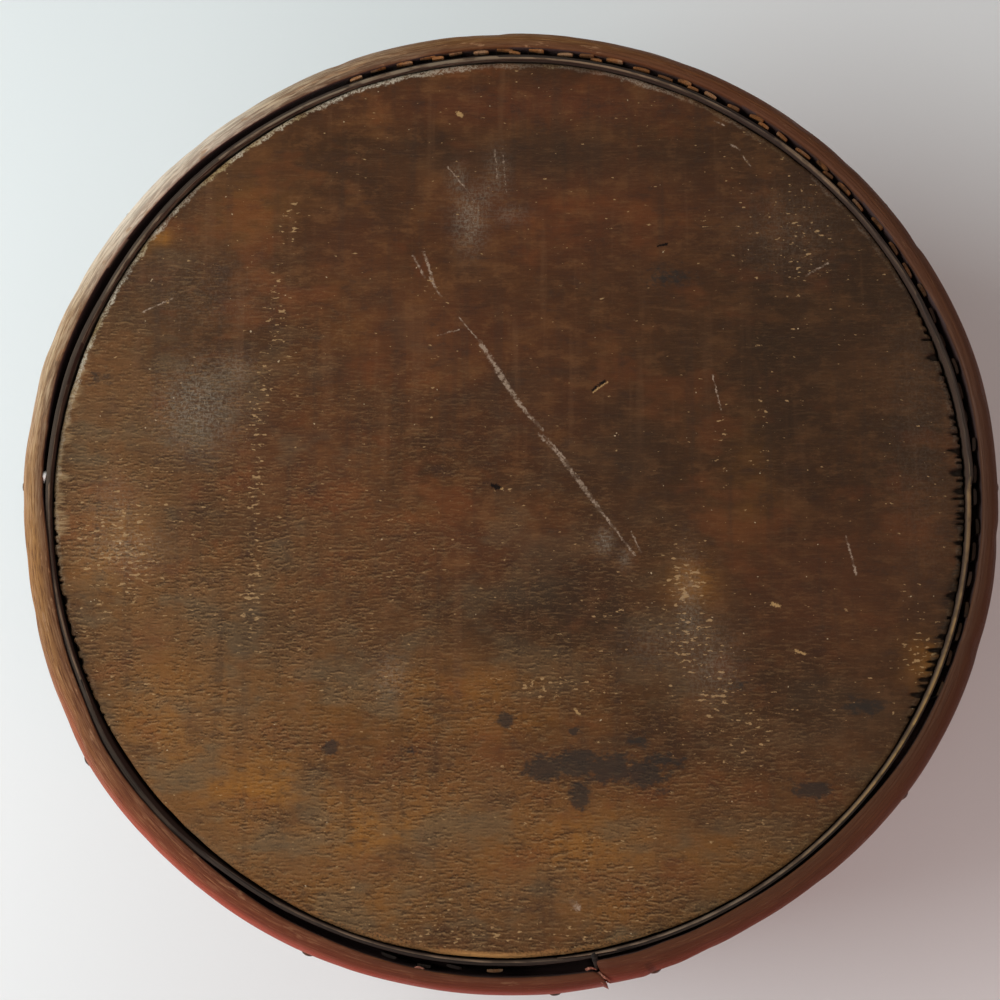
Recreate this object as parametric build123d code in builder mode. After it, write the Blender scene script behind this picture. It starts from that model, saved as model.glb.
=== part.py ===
# Round bentwood cheese box with a lift-off lid, in millimetres and degrees
# The origin is on the floor under the middle of the box, and Z points up
# Angles turn anticlockwise from X, seen from above
from build123d import *
from math import atan2, cos, degrees, hypot, radians, sin, sqrt
import os

# The whole box
box_height = 150.0  # floor to the top of the lid's hoop
overrun = 5.0  # how far a cutting shape reaches past what it cuts
snug = 0.2  # play between two wooden pieces that are fastened together

# The thick hoop round the lid, bent from one batten
hoop_radius = 190.0
hoop_thickness = 7.6
hoop_height = 30.0
hoop_round = 5.0  # upper outer edge, worn round by hands
hoop_foot_bevel = 1.4
hoop_arris = 0.7  # eased inner edges
joint_angle = 281.0  # where the two ends of the hoop meet
joint_gap = 1.6
tuck_start_angle = -35.0  # from here the hoop bends tighter towards the joint
tuck_shift = 9.6  # the tighter arc is struck from a centre this far off
spring_start_angle = 250.0  # from here the other end springs open
spring_shift = 14.0

# The thin bent rim inside the hoop, which hangs down as the lid's skirt
groove = 3.4  # open groove between rim and hoop
rim_thickness = 1.9
rim_sink = 1.0  # top edge below the top of the hoop
rim_skirt = 35.0  # how far it hangs below the board
rim_seam_angle = 281.0

# The round board let into the rim
board_thickness = 9.5
board_sink = 3.5  # face below the top of the hoop
board_wear = 0.8  # upper edge worn away by use

# The bent side of the box and its base
wall_play = 0.8  # room for the lid's skirt to slide down over the side
wall_thickness = 2.4
wall_seam_angle = 312.0
base_thickness = 10.0
base_rise = 2.0  # underside above the floor, so that the box stands on its edge
base_hoop_thickness = 7.0
base_hoop_height = 28.0
base_hoop_bevel = 1.2
base_joint_angle = 87.5
base_joint_slant_angle = 50.0  # of the saw cut, away from straight out
base_joint_gap = 1.0

# The feathered laps where a bent strip closes
scarf_gap = 0.25
scarf_length = 30.0

# Flat strips of split cane that stand in the groove and pack the hoop out
splint_count = 41
splint_first_angle = -25.2
splint_pitch_angle = 3.37
splint_width = 5.5
splint_thickness = 1.4
splint_edge = 0.7  # thickness at the two long edges
splint_length = 26.0
splint_sink = 1.5  # top end below the top of the hoop
splint_unevenness = 1.1  # how much deeper the lowest ones stand
splint_row_shares = (1, 0, 0.35)
splint_sink_shares = (0.2, 0.6, 0, 0.8, 0.35, 1, 0.1)
joint_splint_angles = (256.0, 260.5, 264.0, 269.0)  # a few more where the hoop has sprung open

# Square cut nails through the hoops
nail_length = 30.0
nail_width = 2.2
nail_taper_angle = 1.6
nail_head_width = 5.0
nail_head_height = 1.0
nail_head_taper_angle = 52.0
nail_play = 0.1
nailed_gap_counts = (7, 18, 28, 39)  # gaps between splints that a nail goes through, counted from 0
bare_nail_angles = (143.0, 179.0, 213.0, 247.0, 275.5, 287.0, 322.0)
base_nail_count = 8
base_nail_first_angle = 20.0

# Clenched tacks along the laps
tack_width = 1.4
tack_head_radius = 2.3
tack_head_sides = 8  # hammered, not turned
tack_head_height = 0.6
tack_clench_length = 3.2  # of the point bent over inside
tack_clench_height = 0.35
tack_play = 0.1
rim_tack_count = 2
rim_tack_margin = 4.5  # from the end of the bare stretch of lap to the nearest tack
wall_tack_count = 4
wall_tack_margin = 9.0

# Sizes that follow from the ones above
hoop_inner = hoop_radius - hoop_thickness
hoop_foot = box_height - hoop_height
rim_outer = hoop_inner - groove
rim_inner = rim_outer - rim_thickness
board_radius = rim_inner - snug
board_top = box_height - board_sink
board_foot = board_top - board_thickness
rim_top = box_height - rim_sink
rim_foot = board_foot - rim_skirt
wall_outer = rim_inner - wall_play
wall_inner = wall_outer - wall_thickness
wall_top = board_foot
base_radius = wall_inner - snug
base_hoop_inner = wall_outer + snug
base_hoop_outer = base_hoop_inner + base_hoop_thickness
nail_height = (board_top + board_foot) / 2
base_nail_height = base_rise + base_thickness / 2


def on_circle(radius, angle, height=0):
    """The point at this distance and angle from the upright axis."""
    return (radius * cos(radians(angle)), radius * sin(radians(angle)), height)


def upright_plane(angle, centre=(0, 0, 0)):
    """The upright plane through the centre that reaches out along the angle."""
    return Plane(origin=centre, x_dir=on_circle(1, angle), z_dir=on_circle(1, angle - 90))


def outward_plane(radius, angle, height):
    """The plane that faces straight away from the upright axis."""
    return Plane(
        origin=on_circle(radius, angle, height),
        x_dir=on_circle(1, angle + 90),
        z_dir=on_circle(1, angle),
    )


def hoop_section(plane, inner, outer, foot, top):
    """A batten's section, worn round at its upper outer edge and eased at the others."""
    with BuildSketch(plane) as section:
        with Locations(((inner + outer) / 2, (foot + top) / 2)):
            Rectangle(outer - inner, top - foot)
        inner_edges = section.vertices().group_by(Axis.X)[0]
        outer_foot, outer_top = section.vertices().group_by(Axis.X)[-1].sort_by(Axis.Y)
        fillet(outer_top, hoop_round)
        chamfer(outer_foot, hoop_foot_bevel)
        chamfer(inner_edges, hoop_arris)
    return section.sketch


def scarf_slit(inner, outer, angle, foot, top):
    """The thin slanting gap between the feathered ends of a bent strip."""
    middle = (inner + outer) / 2
    shift = middle * (outer - inner) / scarf_length
    reach = hypot(middle, shift)
    centre_plane = Plane(
        origin=on_circle(shift, angle + 90, foot - overrun), x_dir=on_circle(1, angle)
    )
    with BuildPart() as slit:
        with BuildSketch(centre_plane):
            Circle(reach + scarf_gap / 2)
            Circle(reach - scarf_gap / 2, mode=Mode.SUBTRACT)
            with Locations((middle, -shift)):
                Rectangle(2 * scarf_length, 2 * scarf_length, mode=Mode.INTERSECT)
        extrude(amount=top - foot + 2 * overrun)
    return slit.part


def end_arc_reach(shift, start_angle, angle):
    """How far the outside of the hoop is from the axis on an end arc of shifted centre."""
    turn = radians(angle - start_angle)
    return shift * cos(turn) + sqrt((hoop_radius - shift) ** 2 - (shift * sin(turn)) ** 2)


def end_arc_angle(shift, start_angle, angle):
    """The same place on an end arc, as an angle about the arc's own centre."""
    place = Vector(*on_circle(end_arc_reach(shift, start_angle, angle), angle))
    from_centre = place - Vector(*on_circle(shift, start_angle))
    return degrees(atan2(from_centre.Y, from_centre.X))


def hoop_reach(angle):
    """How far the outside of the lid's hoop is from the axis at an angle."""
    turn = (angle - tuck_start_angle) % 360
    if turn > joint_angle - tuck_start_angle:
        return end_arc_reach(tuck_shift, tuck_start_angle, angle)
    if turn > spring_start_angle - tuck_start_angle:
        return end_arc_reach(-spring_shift, spring_start_angle, angle)
    return hoop_radius


def nail():
    """A square cut nail with the underside of its head at the origin and its point down."""
    with BuildPart() as cut_nail:
        with BuildSketch(Plane.XY):
            Rectangle(nail_width, nail_width)
        extrude(amount=-nail_length, taper=nail_taper_angle)
        with BuildSketch(Plane.XY):
            Rectangle(nail_head_width, nail_head_width)
        extrude(amount=nail_head_height, taper=nail_head_taper_angle)
    return cut_nail.part


def nail_hole(depth):
    """The square hole that a nail goes through, down from the origin."""
    with BuildPart() as hole:
        with BuildSketch(Plane.XY.offset(overrun)):
            Rectangle(nail_width + 2 * nail_play, nail_width + 2 * nail_play)
        extrude(amount=-overrun - depth)
    return hole.part


def clenched_tack(thickness):
    """A flat-headed tack through a strip of this thickness, its point bent over inside."""
    inside = thickness + tack_play
    with BuildPart() as tack:
        with BuildSketch(Plane.XY):
            RegularPolygon(tack_head_radius, side_count=tack_head_sides)
        extrude(amount=tack_head_height)
        with BuildSketch(Plane.XY):
            Rectangle(tack_width, tack_width)
        extrude(amount=-inside)
        with BuildSketch(Plane.XY.offset(-inside)):
            with Locations((0, (tack_clench_length - tack_width) / 2)):
                Rectangle(tack_width, tack_clench_length)
        extrude(amount=-tack_clench_height)
    return tack.part


def tack_hole(thickness):
    """The square hole that a tack goes through, down from the origin."""
    with BuildPart() as hole:
        with BuildSketch(Plane.XY.offset(overrun)):
            Rectangle(tack_width + 2 * tack_play, tack_width + 2 * tack_play)
        extrude(amount=-2 * overrun - thickness)
    return hole.part


# Where the nails and tacks go
splint_gap_angles = [
    splint_first_angle + (gap + 1 / 2) * splint_pitch_angle for gap in nailed_gap_counts
]
lid_nail_seats = [
    outward_plane(hoop_reach(angle) + nail_play, angle, nail_height)
    for angle in (*splint_gap_angles, *bare_nail_angles)
]
base_nail_seats = [
    outward_plane(
        base_hoop_outer + nail_play,
        base_nail_first_angle + number * 360 / base_nail_count,
        base_nail_height,
    )
    for number in range(base_nail_count)
]


def tack_seats(radius, angle, lowest, highest, count):
    """A straight upright row of tacks from the lowest height to the highest."""
    step = (highest - lowest) / (count - 1)
    return [outward_plane(radius, angle, lowest + number * step) for number in range(count)]


rim_tack_seats = tack_seats(
    rim_outer,
    rim_seam_angle,
    rim_foot + rim_tack_margin,
    hoop_foot - rim_tack_margin,
    rim_tack_count,
)
wall_tack_seats = tack_seats(
    wall_outer,
    wall_seam_angle,
    base_hoop_height + wall_tack_margin,
    rim_foot - wall_tack_margin,
    wall_tack_count,
)


# Lid board, one turned round of plank with a worn upper edge
with BuildPart() as lid_board:
    with BuildSketch(Plane.XY.offset(board_foot)):
        Circle(board_radius)
    extrude(amount=board_thickness)
    chamfer(lid_board.edges().sort_by(Axis.Z)[-1], board_wear)
    with Locations(*lid_nail_seats):
        add(nail_hole(nail_length + nail_play), mode=Mode.SUBTRACT)

# Lid rim, a thin strip bent round the board and closed with a feathered lap
with BuildPart() as lid_rim:
    with BuildSketch(Plane.XY.offset(rim_foot)):
        Circle(rim_outer)
        Circle(rim_inner, mode=Mode.SUBTRACT)
    extrude(amount=rim_top - rim_foot)
    add(scarf_slit(rim_inner, rim_outer, rim_seam_angle, rim_foot, rim_top), mode=Mode.SUBTRACT)
    with Locations(*lid_nail_seats):
        add(nail_hole(nail_length), mode=Mode.SUBTRACT)
    with Locations(*rim_tack_seats):
        add(tack_hole(rim_thickness), mode=Mode.SUBTRACT)

# Tacks through the lap of the rim, below the hoop
with BuildPart() as lid_rim_tacks:
    with Locations(*rim_tack_seats):
        add(clenched_tack(rim_thickness))

# Flat cane splints on end in the groove, in two rows, and a few beside the hoop's joint
splint_angles = [splint_first_angle + number * splint_pitch_angle for number in range(splint_count)]
with BuildPart() as lid_splints:
    inner_row = rim_outer + snug
    outer_row = hoop_inner - snug - splint_thickness
    for number, angle in enumerate((*splint_angles, *joint_splint_angles)):
        row_share = splint_row_shares[number % len(splint_row_shares)]
        sink_share = splint_sink_shares[number % len(splint_sink_shares)]
        top = box_height - splint_sink - splint_unevenness * sink_share
        reach = inner_row + (outer_row - inner_row) * row_share
        foot_plane = Plane(
            origin=on_circle(reach, angle, top - splint_length), x_dir=on_circle(1, angle - 90)
        )
        with BuildSketch(foot_plane):
            with BuildLine():
                Polyline(
                    (-splint_width / 2, splint_edge),
                    (-splint_width / 2, 0),
                    (splint_width / 2, 0),
                    (splint_width / 2, splint_edge),
                )
                ThreePointArc(
                    (splint_width / 2, splint_edge),
                    (0, splint_thickness),
                    (-splint_width / 2, splint_edge),
                )
            make_face()
        extrude(amount=splint_length)

# Lid hoop, one bent batten whose ends meet out of line at an open joint
half_gap_angle = degrees(joint_gap / 2 / hoop_radius)
tuck_centre = on_circle(tuck_shift, tuck_start_angle)
spring_centre = on_circle(-spring_shift, spring_start_angle)
tuck_end_angle = end_arc_angle(tuck_shift, tuck_start_angle, joint_angle + half_gap_angle)
spring_end_angle = end_arc_angle(-spring_shift, spring_start_angle, joint_angle - half_gap_angle)
with BuildPart() as lid_hoop:
    revolve(
        hoop_section(
            upright_plane(tuck_start_angle),
            hoop_inner,
            hoop_radius,
            hoop_foot,
            box_height,
        ),
        axis=Axis.Z,
        revolution_arc=spring_start_angle - tuck_start_angle,
    )
    revolve(
        hoop_section(
            upright_plane(tuck_start_angle, tuck_centre),
            hoop_inner - tuck_shift,
            hoop_radius - tuck_shift,
            hoop_foot,
            box_height,
        ),
        axis=Axis(tuck_centre, (0, 0, 1)),
        revolution_arc=-((tuck_start_angle - tuck_end_angle) % 360),
    )
    revolve(
        hoop_section(
            upright_plane(spring_start_angle, spring_centre),
            hoop_inner + spring_shift,
            hoop_radius + spring_shift,
            hoop_foot,
            box_height,
        ),
        axis=Axis(spring_centre, (0, 0, 1)),
        revolution_arc=(spring_end_angle - spring_start_angle) % 360,
    )
    with Locations(*lid_nail_seats):
        add(nail_hole(2 * hoop_thickness), mode=Mode.SUBTRACT)

# Nails through hoop and rim into the edge of the lid board
with BuildPart() as lid_hoop_nails:
    with Locations(*lid_nail_seats):
        add(nail())

# Side of the box, a bent strip with a feathered lap
with BuildPart() as body_wall:
    with BuildSketch(Plane.XY):
        Circle(wall_outer)
        Circle(wall_inner, mode=Mode.SUBTRACT)
    extrude(amount=wall_top)
    add(scarf_slit(wall_inner, wall_outer, wall_seam_angle, 0, wall_top), mode=Mode.SUBTRACT)
    with Locations(*base_nail_seats):
        add(nail_hole(nail_length), mode=Mode.SUBTRACT)
    with Locations(*wall_tack_seats):
        add(tack_hole(wall_thickness), mode=Mode.SUBTRACT)

# Tacks up the lap of the side, between the base hoop and the lid's skirt
with BuildPart() as body_wall_tacks:
    with Locations(*wall_tack_seats):
        add(clenched_tack(wall_thickness))

# Base board, let in a little above the foot of the side
with BuildPart() as base_board:
    with BuildSketch(Plane.XY.offset(base_rise)):
        Circle(base_radius)
    extrude(amount=base_thickness)
    with Locations(*base_nail_seats):
        add(nail_hole(nail_length + nail_play), mode=Mode.SUBTRACT)

# Base hoop, a bent batten whose ends meet at a slanting saw cut
with BuildPart() as base_hoop:
    with BuildSketch(Plane.XY):
        Circle(base_hoop_outer)
        Circle(base_hoop_inner, mode=Mode.SUBTRACT)
    extrude(amount=base_hoop_height)
    outer_edges = base_hoop.edges().filter_by(GeomType.CIRCLE).group_by(SortBy.RADIUS)[-1]
    chamfer(outer_edges, base_hoop_bevel)
    joint_plane = Plane(
        origin=on_circle((base_hoop_inner + base_hoop_outer) / 2, base_joint_angle, -overrun),
        x_dir=on_circle(1, base_joint_angle + base_joint_slant_angle),
    )
    with BuildSketch(joint_plane):
        Rectangle(4 * base_hoop_thickness, base_joint_gap)
    extrude(amount=base_hoop_height + 2 * overrun, mode=Mode.SUBTRACT)
    with Locations(*base_nail_seats):
        add(nail_hole(2 * base_hoop_thickness), mode=Mode.SUBTRACT)

# Nails through base hoop and side into the edge of the base board
with BuildPart() as base_hoop_nails:
    with Locations(*base_nail_seats):
        add(nail())

# One file for each piece
pieces = {
    "lid_board": lid_board,
    "lid_rim": lid_rim,
    "lid_rim_tacks": lid_rim_tacks,
    "lid_splints": lid_splints,
    "lid_hoop": lid_hoop,
    "lid_hoop_nails": lid_hoop_nails,
    "body_wall": body_wall,
    "body_wall_tacks": body_wall_tacks,
    "base_board": base_board,
    "base_hoop": base_hoop,
    "base_hoop_nails": base_hoop_nails,
}
os.makedirs("parts", exist_ok=True)
for name, piece in pieces.items():
    piece.part.label = name
    export_step(piece.part, f"parts/{name}.step")
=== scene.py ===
import math

import bmesh
import bpy
import numpy as np
from mathutils import Matrix, Vector


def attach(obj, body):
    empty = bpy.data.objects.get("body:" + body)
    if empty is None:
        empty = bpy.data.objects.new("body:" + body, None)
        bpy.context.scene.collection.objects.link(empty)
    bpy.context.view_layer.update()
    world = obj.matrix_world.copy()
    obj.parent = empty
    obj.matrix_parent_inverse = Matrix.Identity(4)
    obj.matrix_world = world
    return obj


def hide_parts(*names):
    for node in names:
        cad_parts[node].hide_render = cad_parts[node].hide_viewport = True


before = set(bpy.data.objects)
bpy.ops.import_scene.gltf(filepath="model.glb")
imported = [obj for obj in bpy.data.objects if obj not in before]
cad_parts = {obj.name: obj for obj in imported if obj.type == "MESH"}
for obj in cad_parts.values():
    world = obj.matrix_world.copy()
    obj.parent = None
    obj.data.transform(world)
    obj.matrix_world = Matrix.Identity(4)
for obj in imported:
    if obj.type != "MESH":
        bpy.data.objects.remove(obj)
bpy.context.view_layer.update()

# Base board
# A round of bare plank that closes the foot of the box. The side is bent round it and
# nails through the base hoop hold it, 2 mm up from the table.
mm = 0.001
base_radius = 173.6
base_foot, base_top = 2.0, 12.0
base_rows, base_columns = 260, 70
base_arris = 0.8
base_hollow_depth, base_grain_depth = 0.25, 0.15
edge_band = 3.5


def softened(share):
    """A share from 0 to 1 that starts and ends gently."""
    return share * share * (3 - 2 * share)


def patches(rng, across, along, wide, high):
    """Smooth random patches from 0 to 1, wide by high each, at the given places."""
    column, row = (across - across.min()) / wide, (along - along.min()) / high
    left, low = column.astype(int), row.astype(int)
    knots = rng.random((low.max() + 2, left.max() + 2))
    aside, up = softened(column - left), softened(row - low)
    near = knots[low, left] * (1 - aside) + knots[low, left + 1] * aside
    far = knots[low + 1, left] * (1 - aside) + knots[low + 1, left + 1] * aside
    return near * (1 - up) + far * up


def set_up(name, data):
    """Puts a mesh, a lamp or a camera in the scene."""
    made = bpy.data.objects.new(name, data)
    bpy.context.scene.collection.objects.link(made)
    return made


def new_piece(name, points, faces, sharp=40):
    """A closed mesh from points in millimetres, shaded smooth but for its sharp edges."""
    mesh = bpy.data.meshes.new(name)
    mesh.from_pydata([tuple(point) for point in np.asarray(points) * mm], [], faces)
    shell = bmesh.new()
    shell.from_mesh(mesh)
    bmesh.ops.recalc_face_normals(shell, faces=shell.faces)
    shell.to_mesh(mesh)
    shell.free()
    mesh.shade_smooth()
    mesh.set_sharp_from_angle(angle=math.radians(sharp))
    return set_up(name, mesh)


def mark(piece, amounts):
    """Writes amounts on the points of a piece, which its finish then reads by name."""
    for name, amount in amounts.items():
        every = np.zeros(len(piece.data.vertices), np.float32)
        every[: amount.size] = amount.ravel()
        piece.data.attributes.new(name, "FLOAT", "POINT").data.foreach_set("value", every)


def round_grid(radius, rows, columns):
    """Places on a round board, in rows along its grain that lie closer at its edge."""
    turn = np.linspace(-math.pi / 2 + 0.01, math.pi / 2 - 0.01, rows)[:, None]
    share = np.linspace(-1, 1, columns)[None, :]
    share = 0.6 * share + 0.4 * np.sin(share * math.pi / 2)
    return radius * np.cos(turn) * share, radius * np.sin(turn) + 0 * share


def board_piece(name, across, along, height, foot, arris):
    """A board with that upper face, a straight edge and a flat underside."""
    cell = np.arange(across.size).reshape(across.shape)
    points = list(np.stack([across, along, height], -1).reshape(-1, 3))
    corners = cell[:-1, :-1], cell[:-1, 1:], cell[1:, 1:], cell[1:, :-1]
    faces = [tuple(face) for face in np.stack(corners, -1).reshape(-1, 4)]
    edge = [*cell[:, 0], *cell[-1, 1:-1], *cell[::-1, -1], *cell[0, -2:0:-1]]
    loop = edge
    for shrink, level in ((0.0, foot + edge_band), (0.0, foot + arris), (arris, foot)):
        below = list(range(len(points), len(points) + len(edge)))
        for x, y, _ in [points[index] for index in edge]:
            share = 1 - shrink / math.hypot(x, y)
            points.append((x * share, y * share, level))
        faces += zip(loop, loop[1:] + loop[:1], below[1:] + below[:1], below)
        loop = below
    return new_piece(name, points, [*faces, tuple(loop)])


class Finish:
    """One surface finish. Each call adds a part and gives back what comes out of it."""

    def __init__(self, name, gloss=0.2):
        self.material = bpy.data.materials.new(name)
        self.material.use_nodes = True
        self.tree = self.material.node_tree
        self.shader = self.tree.nodes["Principled BSDF"]
        self.shader.inputs["Specular IOR Level"].default_value = gloss
        self.place = self.tree.nodes.new("ShaderNodeTexCoord").outputs["Object"]

    def add(self, kind, plugs, **settings):
        """A node of that kind, with numbers, colours or other nodes on its plugs."""
        made = self.tree.nodes.new(kind)
        for name, value in settings.items():
            setattr(made, name, value)
        for plug, value in plugs.items():
            if isinstance(value, bpy.types.NodeSocket):
                self.tree.links.new(value, made.inputs[plug])
            elif made.inputs[plug].type == "RGBA":
                made.inputs[plug].default_value = (*value[:3], 1)
            else:
                made.inputs[plug].default_value = value
        return made

    def maths(self, how, *values):
        """Arithmetic on numbers."""
        return self.add("ShaderNodeMath", dict(enumerate(values)), operation=how).outputs[0]

    def times(self, *shares):
        """The product of shares. One given as a tuple is the step of it."""
        product, *others = [self.step(*share) if isinstance(share, tuple) else share for share in shares]
        for other in others:
            product = self.maths("MULTIPLY", product, other)
        return product

    def arrow(self, how, *values):
        """Arithmetic on places."""
        made = self.add("ShaderNodeVectorMath", dict(enumerate(values)), operation=how)
        return made.outputs["Value" if how in ("LENGTH", "DOT_PRODUCT") else "Vector"]

    def spread(self):
        """How far each place lies from the middle line of the box, in metres."""
        return self.arrow("LENGTH", self.arrow("MULTIPLY", self.place, (1, 1, 0)))

    def parts(self, place):
        """How far a place lies along X, Y and Z, in metres."""
        return self.add("ShaderNodeSeparateXYZ", {0: place}).outputs

    def cloud(self, changes, detail=2.0, rough=0.5, shift=(0, 0, 0), place=None):
        """Random variation about a half, with so many changes in a metre along X, Y and Z."""
        plugs = {"Vector": place or self.place, "Location": shift, "Scale": changes}
        moved = self.add("ShaderNodeMapping", plugs).outputs[0]
        plugs = {"Vector": moved, "Scale": 1.0, "Detail": detail, "Roughness": rough}
        return self.add("ShaderNodeTexNoise", plugs).outputs[0]

    def step(self, value, low, high, least=0.0, most=1.0):
        """From least at low to most at high, smoothly, and level past both."""
        plugs = {"Value": value, 1: low, 2: high, 3: least, 4: most}
        return self.add("ShaderNodeMapRange", plugs, interpolation_type="SMOOTHSTEP").outputs[0]

    def marked(self, name, *shares):
        """What was marked on the mesh under that name, times any shares given with it."""
        made = self.add("ShaderNodeAttribute", {}, attribute_name=name)
        return self.times(made.outputs["Fac"], *shares)

    def layered(self, colour, *layers):
        """A colour with others laid over it in turn, each by its share or the step of it."""
        for share, tone in layers:
            plugs = {0: self.times(share), 6: colour, 7: tone}
            colour = self.add("ShaderNodeMix", plugs, data_type="RGBA").outputs[2]
        return colour

    def put_on(self, piece, colour, roughness, height, depth):
        """Puts the finish on a piece, with a fine relief of that depth in metres."""
        relief = self.add("ShaderNodeBump", {"Height": height, "Distance": depth}).outputs[0]
        self.tree.links.new(colour, self.shader.inputs["Base Color"])
        self.tree.links.new(self.times(roughness), self.shader.inputs["Roughness"])
        self.tree.links.new(relief, self.shader.inputs["Normal"])
        piece.data.materials.append(self.material)


rng = np.random.default_rng(3)
across, along = round_grid(base_radius, base_rows, base_columns)
height = base_top - base_hollow_depth * patches(rng, across, along, 60, 25)
height = height - base_grain_depth * patches(rng, across, along, 25, 1.6)
base_board = board_piece("base_board_plank", across, along, height, base_foot, base_arris)

bare = Finish("bare_plank_finish", 0.3)
bare_grain = bare.cloud((7, 320, 40), 4, 0.6)
bare_rings = bare.cloud((2.2, 34, 10), 2, 0.5, (0.3, 0.1, 0))
bare_dirt = bare.cloud((16, 22, 16), 3, 0.6, (1.7, 0, 0))
bare_colour = bare.layered(
    (0.22, 0.125, 0.062),
    ((bare_rings, 0.35, 0.65), (0.15, 0.078, 0.037)),
    ((bare_grain, 0.5, 0.72), (0.07, 0.036, 0.02)),
    ((bare_dirt, 0.52, 0.75, 0, 0.6), (0.075, 0.052, 0.038)),
)
bare.put_on(base_board, bare_colour, (bare_grain, 0.3, 0.7, 0.6, 0.85), bare_grain, 0.0006)
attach(base_board, "box")
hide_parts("base_board")

# Side
# One thin board steamed and bent round the base, dark stained. Its two feathered ends
# lap over each other and are held by a row of clenched tacks.
wall_inner, wall_outer = 173.9, 176.3
wall_foot, wall_top = 0.3, 136.95
wall_lap_angle = 312.0
lap_length, lap_slit, feather = 30.0, 0.2, 0.25
strip_levels, strip_rounding = 26, 0.3
strip_turn = 0.5  # degrees from one outline to the next
strip_run = 3.0  # millimetres round the box to a degree
strip_wear = 0.12
crest_height, crest_waves, crest_chips = 0.5, 0.5, 0.25
spring_power = 9  # how close to its top a strip bends outward
whole_height = 99  # of a patch that doesn't change up a strip


def held(share):
    """A share that goes no lower than 0 and no higher than 1."""
    return np.clip(share, 0, 1)


def eased(angle, stops):
    """A value that changes gently round the box from one (degrees, value) stop to the next."""
    turns, values = np.array([*stops, (stops[0][0] + 360, stops[0][1])], float).T
    turned = (np.asarray(angle, float) - turns[0]) % 360 + turns[0]
    last = np.clip(np.searchsorted(turns, turned, "right") - 1, 0, len(turns) - 2)
    share = softened((turned - turns[last]) / (turns[last + 1] - turns[last]))
    return values[last] * (1 - share) + values[last + 1] * share


def skin(first, rings, corners):
    """Faces along a bar, between rings of points that start at the first, and on its ends."""
    faces = []
    last = first + (rings - 1) * corners
    for ring in range(first, last, corners):
        for corner in range(corners):
            here, after = ring + corner, ring + (corner + 1) % corners
            faces.append((here, after, after + corners, here + corners))
    return [*faces, tuple(range(first, first + corners)), tuple(range(last, last + corners))]


def bent_piece(name, angle, radius, height):
    """A strip bent round the box. Each row of the arrays is its outline at one place."""
    angle = np.radians(angle) + 0 * radius
    points = np.stack([radius * np.cos(angle), radius * np.sin(angle), height], -1)
    return new_piece(name, points.reshape(-1, 3), skin(0, *radius.shape))


def lapped_strip(name, inner, outer, foot, top, lap_angle, spring=((0, 0),)):
    """A thin bent strip with lapped, feathered ends, its top sprung outward by the stops."""
    half_lap = math.degrees(lap_length / (inner + outer))
    angle = np.arange(lap_angle - half_lap, lap_angle + 360 + half_lap, strip_turn)[:, None]
    rise = np.linspace(foot, top, strip_levels)
    rise[1], rise[-2] = foot + strip_rounding, top - strip_rounding
    share = np.zeros(strip_levels)
    share[0] = share[-1] = 0.3
    share, rise = np.append(share, 1 - share), np.append(rise, rise[::-1])
    from_start = held((angle - angle[0]) / (2 * half_lap))
    from_end = held((angle[-1] - angle) / (2 * half_lap))
    taper = outer - inner - feather
    over = np.minimum(inner + taper * (1 - from_end) + lap_slit, outer - feather)
    low = np.where(from_end < 1, over, inner)
    high = np.where(from_start < 1, inner + feather + (taper - lap_slit) * from_start, outer)
    radius = low + (high - low) * share
    rise = rise + 0 * radius
    radius = radius + eased(angle, spring) * ((rise - foot) / (top - foot)) ** spring_power
    rng = np.random.default_rng(int(lap_angle))
    run = angle * strip_run + 0 * rise
    radius = radius - strip_wear * patches(rng, run, rise, 45, 1.7) * (share > 0.5)
    crest = crest_waves * patches(rng, run, rise, 30, whole_height)
    crest = crest + crest_chips * patches(rng, run, rise, 4, whole_height)
    return bent_piece(name, angle, radius, rise - crest * (rise > top - crest_height))


wall = lapped_strip("bent_side", wall_inner, wall_outer, wall_foot, wall_top, wall_lap_angle)

side = Finish("side_finish", 0.3)
side_grain = side.cloud((5, 5, 420), 5, 0.62)
side_bands = side.cloud((3, 3, 45), 3, 0.55, (0.4, 0.2, 0))
side_wear = side.cloud((16, 16, 90), 4, 0.7, (2.3, 0, 0))
side_colour = side.layered(
    (0.082, 0.032, 0.016),
    ((side_bands, 0.35, 0.66), (0.155, 0.068, 0.03)),
    ((side_grain, 0.52, 0.7), (0.036, 0.017, 0.011)),
    ((side_grain, 0.42, 0.3, 0, 0.6), (0.23, 0.12, 0.055)),
    ((side_wear, 0.56, 0.74, 0, 0.4), (0.21, 0.125, 0.07)),
)
side.put_on(wall, side_colour, (side_wear, 0.35, 0.75, 0.36, 0.68), side_grain, 0.0005)
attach(wall, "box")
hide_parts("body_wall")

# Base hoop
# A bent batten round the foot, sawn across on the slant where its ends meet and nailed
# through the side into the base board.
hoop_inner, hoop_outer, hoop_top = 176.5, 183.5, 28.0
foot_joint_angle, foot_joint_gap = 87.5, 1.0
foot_joint_slant, foot_slant_share = 50.0, 0.6
foot_turn = 0.5  # degrees from one outline to the next
foot_run = 3.2  # millimetres round the box to a degree
foot_grain_depth, foot_dent_depth, foot_unworn = 0.16, 0.3, 3.0


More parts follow.
